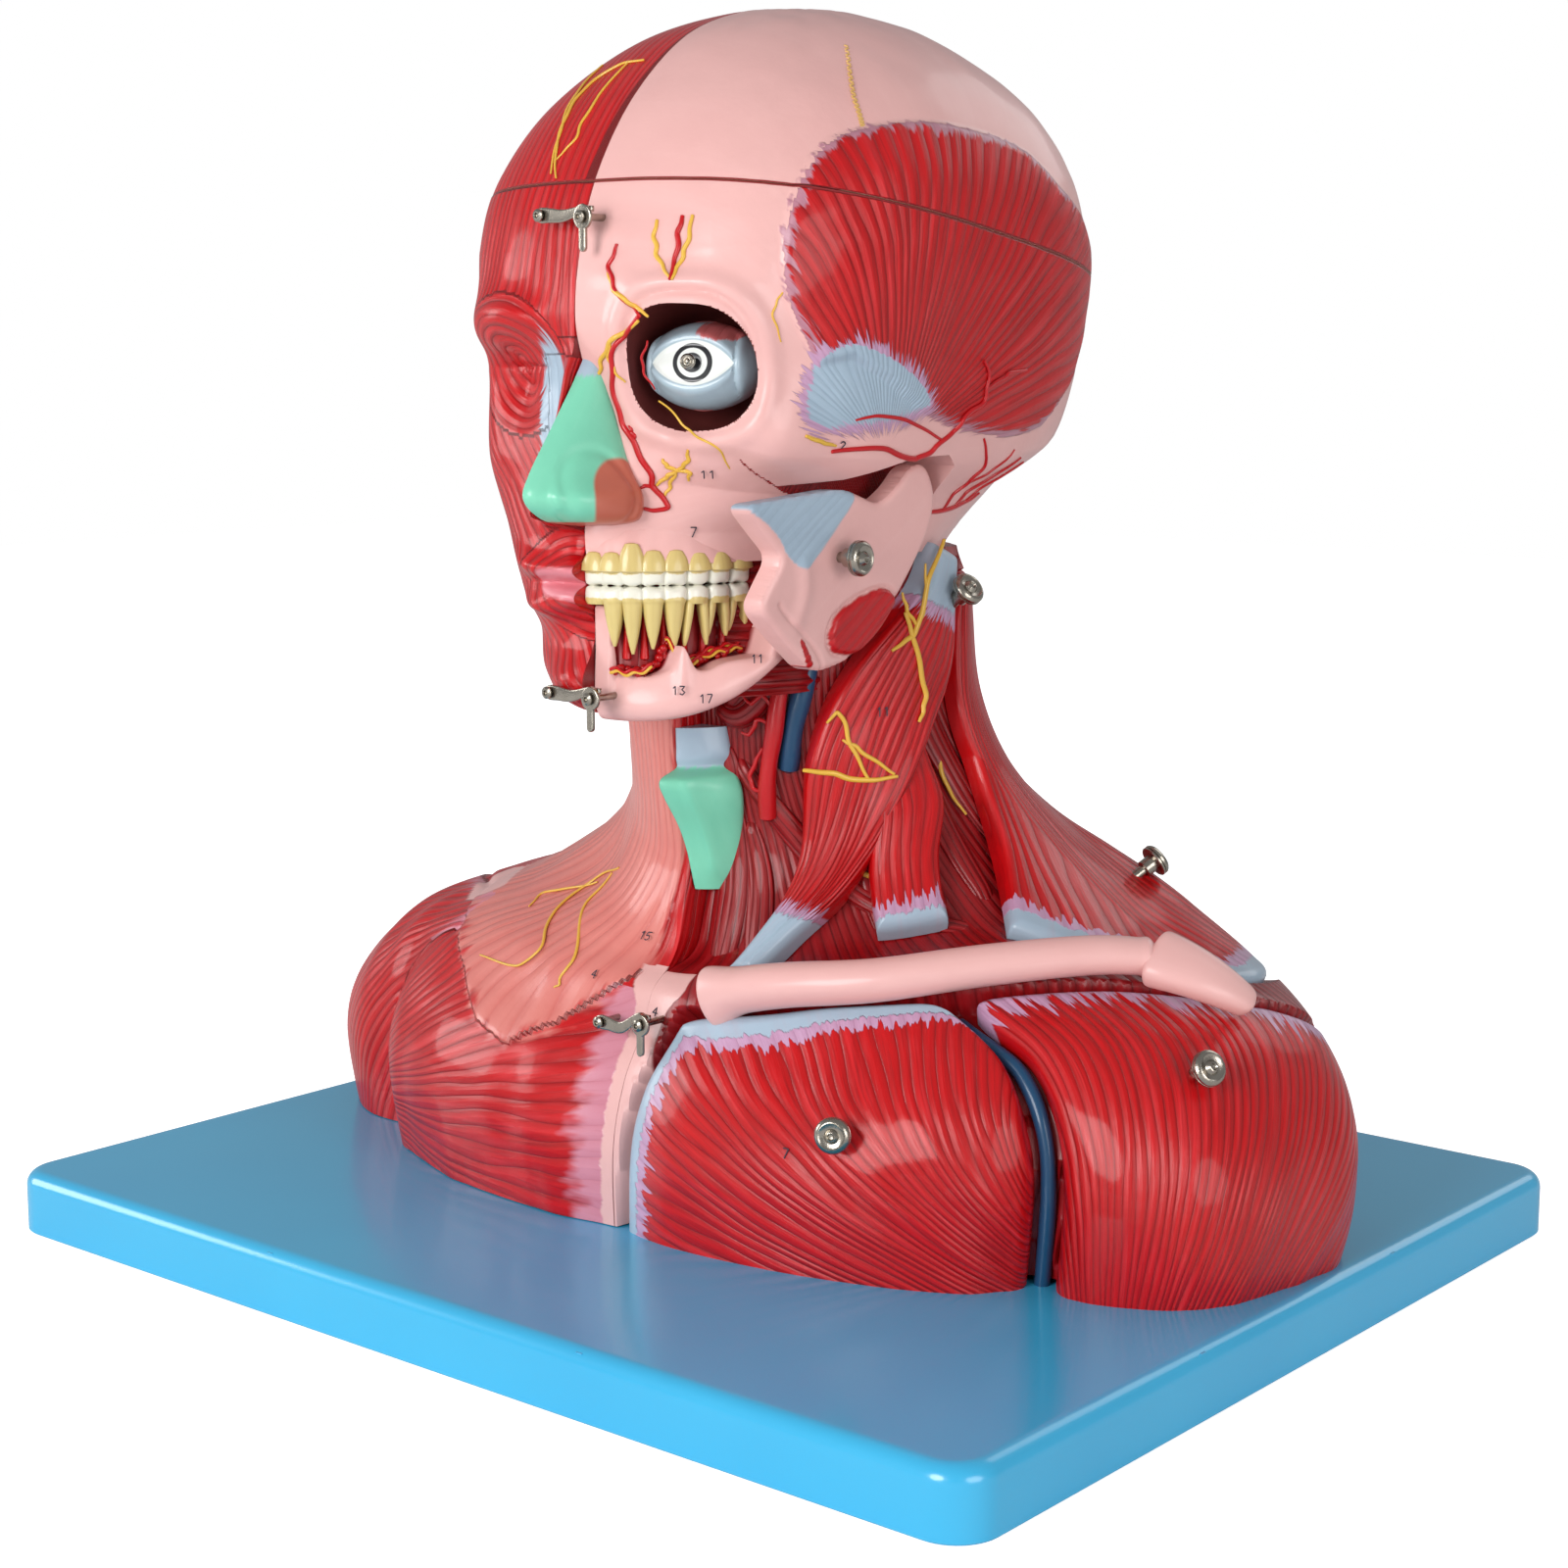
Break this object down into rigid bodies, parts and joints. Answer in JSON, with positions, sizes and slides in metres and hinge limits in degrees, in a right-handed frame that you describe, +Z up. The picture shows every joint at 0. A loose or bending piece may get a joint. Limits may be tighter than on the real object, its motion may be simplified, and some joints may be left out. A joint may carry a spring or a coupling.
{
  "type": "anatomical head model",
  "caption": "Dissectible head, neck and shoulder model on a board: a muscle half and a bone half latched at the midline, with a lift-off cap, half brain and pinned muscle plates.",
  "frame": {"origin": "centre of the board's underside", "axes": "+Z up, the face looks along -Y, +X is the model's own left, the bone half"},
  "size_m": [0.4, 0.3358, 0.3995],
  "materials": {
    "board_blue": "glossy moulded plastic",
    "bone_pink": "glossy painted plastic",
    "muscle_red": "glossy painted plastic",
    "deep_muscle_red": "glossy painted plastic",
    "cartilage_green": "glossy painted plastic",
    "eye_grey": "glossy painted plastic",
    "artery_red": "glossy painted plastic",
    "vein_blue": "glossy painted plastic",
    "tooth_white": "glossy painted plastic",
    "brain_cream": "glossy painted plastic",
    "bright_nickel": "nickel plate",
    "plain_steel": "turned steel"
  },
  "bodies": {
    "base": {"base_board": "board_blue", "board_screw_1": "plain_steel", "board_screw_2": "plain_steel", "board_screw_3": "plain_steel", "left_bust": "deep_muscle_red", "left_skull": "bone_pink", "left_jaw": "bone_pink", "upper_teeth": "tooth_white", "lower_teeth": "tooth_white", "nose_cartilage": "cartilage_green", "larynx": "cartilage_green", "carotid_artery": "artery_red", "jugular_vein": "vein_blue", "cephalic_vein": "vein_blue", "clavicle": "bone_pink", "acromion": "bone_pink", "dowel_1": "plain_steel", "dowel_2": "plain_steel", "dowel_3": "plain_steel", "dowel_4": "plain_steel", "forehead_stud_screw": "bright_nickel", "chin_stud_screw": "bright_nickel", "breast_stud_screw": "bright_nickel"},
    "right_half": {"right_half": "muscle_red", "right_ear": "muscle_red", "forehead_pivot_screw": "bright_nickel", "chin_pivot_screw": "bright_nickel", "breast_pivot_screw": "bright_nickel"},
    "pectoral_muscle": {"pectoral_muscle": "muscle_red"},
    "pectoral_pin": {"pectoral_pin": "bright_nickel"},
    "deltoid_muscle": {"deltoid_muscle": "muscle_red"},
    "deltoid_pin": {"deltoid_pin": "bright_nickel"},
    "trapezius_muscle": {"trapezius_muscle": "muscle_red"},
    "trapezius_pin": {"trapezius_pin": "bright_nickel"},
    "sternomastoid_muscle": {"sternomastoid_muscle": "muscle_red"},
    "sternomastoid_pin": {"sternomastoid_pin": "bright_nickel"},
    "jaw_branch": {"jaw_branch": "bone_pink"},
    "jaw_branch_pin": {"jaw_branch_pin": "bright_nickel"},
    "eyeball": {"eyeball": "eye_grey"},
    "eye_pin": {"eye_pin": "bright_nickel"},
    "hindbrain": {"hindbrain": "brain_cream"},
    "brain_hemisphere": {"brain_hemisphere": "brain_cream"},
    "skull_cap": {"skull_cap": "bone_pink"},
    "forehead_hook_arm": {"forehead_hook_arm": "bright_nickel"},
    "forehead_lever": {"forehead_lever": "bright_nickel"},
    "chin_hook_arm": {"chin_hook_arm": "bright_nickel"},
    "chin_lever": {"chin_lever": "bright_nickel"},
    "breast_hook_arm": {"breast_hook_arm": "bright_nickel"},
    "breast_lever": {"breast_lever": "bright_nickel"}
  },
  "joints": [
    {"name": "right_half_slide", "type": "slide", "parent": "base", "child": "right_half", "axis": [-1, 0, 0], "range_m": [0, 0.08]},
    {"name": "pectoral_lift", "type": "slide", "parent": "base", "child": "pectoral_muscle", "axis": [0.4208, -0.9016, 0.1002], "range_m": [0, 0.06]},
    {"name": "pectoral_pin_pull", "type": "slide", "parent": "pectoral_muscle", "child": "pectoral_pin", "axis": [0.4208, -0.9016, 0.1002], "range_m": [0, 0.03]},
    {"name": "deltoid_lift", "type": "slide", "parent": "base", "child": "deltoid_muscle", "axis": [0.861, -0.3003, 0.4105], "range_m": [0, 0.06]},
    {"name": "deltoid_pin_pull", "type": "slide", "parent": "deltoid_muscle", "child": "deltoid_pin", "axis": [0.861, -0.3003, 0.4105], "range_m": [0, 0.03]},
    {"name": "trapezius_lift", "type": "slide", "parent": "base", "child": "trapezius_muscle", "axis": [0.4002, 0.7403, 0.5402], "range_m": [0, 0.05]},
    {"name": "trapezius_pin_pull", "type": "slide", "parent": "trapezius_muscle", "child": "trapezius_pin", "axis": [0.4002, 0.7403, 0.5402], "range_m": [0, 0.03]},
    {"name": "sternomastoid_lift", "type": "slide", "parent": "base", "child": "sternomastoid_muscle", "axis": [0.8008, -0.1001, 0.5906], "range_m": [0, 0.05]},
    {"name": "sternomastoid_pin_pull", "type": "slide", "parent": "sternomastoid_muscle", "child": "sternomastoid_pin", "axis": [0.8008, -0.1001, 0.5906], "range_m": [0, 0.03]},
    {"name": "jaw_branch_slide", "type": "slide", "parent": "base", "child": "jaw_branch", "axis": [1, 0, 0], "range_m": [0, 0.06]},
    {"name": "jaw_branch_pin_pull", "type": "slide", "parent": "jaw_branch", "child": "jaw_branch_pin", "axis": [1, 0, 0], "range_m": [0, 0.03]},
    {"name": "eyeball_pull", "type": "slide", "parent": "base", "child": "eyeball", "axis": [0.3625, -0.9265, 0.1007], "range_m": [0, 0.045]},
    {"name": "eye_pin_pull", "type": "slide", "parent": "eyeball", "child": "eye_pin", "axis": [0.3625, -0.9265, 0.1007], "range_m": [0, 0.02]},
    {"name": "hindbrain_lift", "type": "slide", "parent": "base", "child": "hindbrain", "axis": [0, 0, 1], "range_m": [0, 0.12]},
    {"name": "brain_lift", "type": "slide", "parent": "hindbrain", "child": "brain_hemisphere", "axis": [0, 0, 1], "range_m": [0, 0.14]},
    {"name": "skull_cap_lift", "type": "slide", "parent": "brain_hemisphere", "child": "skull_cap", "axis": [0, 0, 1], "range_m": [0, 0.14]},
    {"name": "forehead_hook_turn", "type": "hinge", "parent": "right_half", "child": "forehead_hook_arm", "pos_m": [-0.0111, -0.09506, 0.33278], "axis": [0, -1, 0], "range_deg": [0, 70]},
    {"name": "forehead_lever_turn", "type": "hinge", "parent": "base", "child": "forehead_lever", "pos_m": [0.0074, -0.09506, 0.33186], "axis": [0, -1, 0], "range_deg": [0, 90]},
    {"name": "chin_hook_turn", "type": "hinge", "parent": "right_half", "child": "chin_hook_arm", "pos_m": [-0.0111, -0.09408, 0.19081], "axis": [0, -1, 0], "range_deg": [0, 70]},
    {"name": "chin_lever_turn", "type": "hinge", "parent": "base", "child": "chin_lever", "pos_m": [0.0074, -0.09408, 0.19043], "axis": [0, -1, 0], "range_deg": [0, 90]},
    {"name": "breast_hook_turn", "type": "hinge", "parent": "right_half", "child": "breast_hook_arm", "pos_m": [-0.0111, -0.0735, 0.08399], "axis": [0, -1, 0], "range_deg": [0, 70]},
    {"name": "breast_lever_turn", "type": "hinge", "parent": "base", "child": "breast_lever", "pos_m": [0.0074, -0.0735, 0.08621], "axis": [0, -1, 0], "range_deg": [0, 90]}
  ]
}
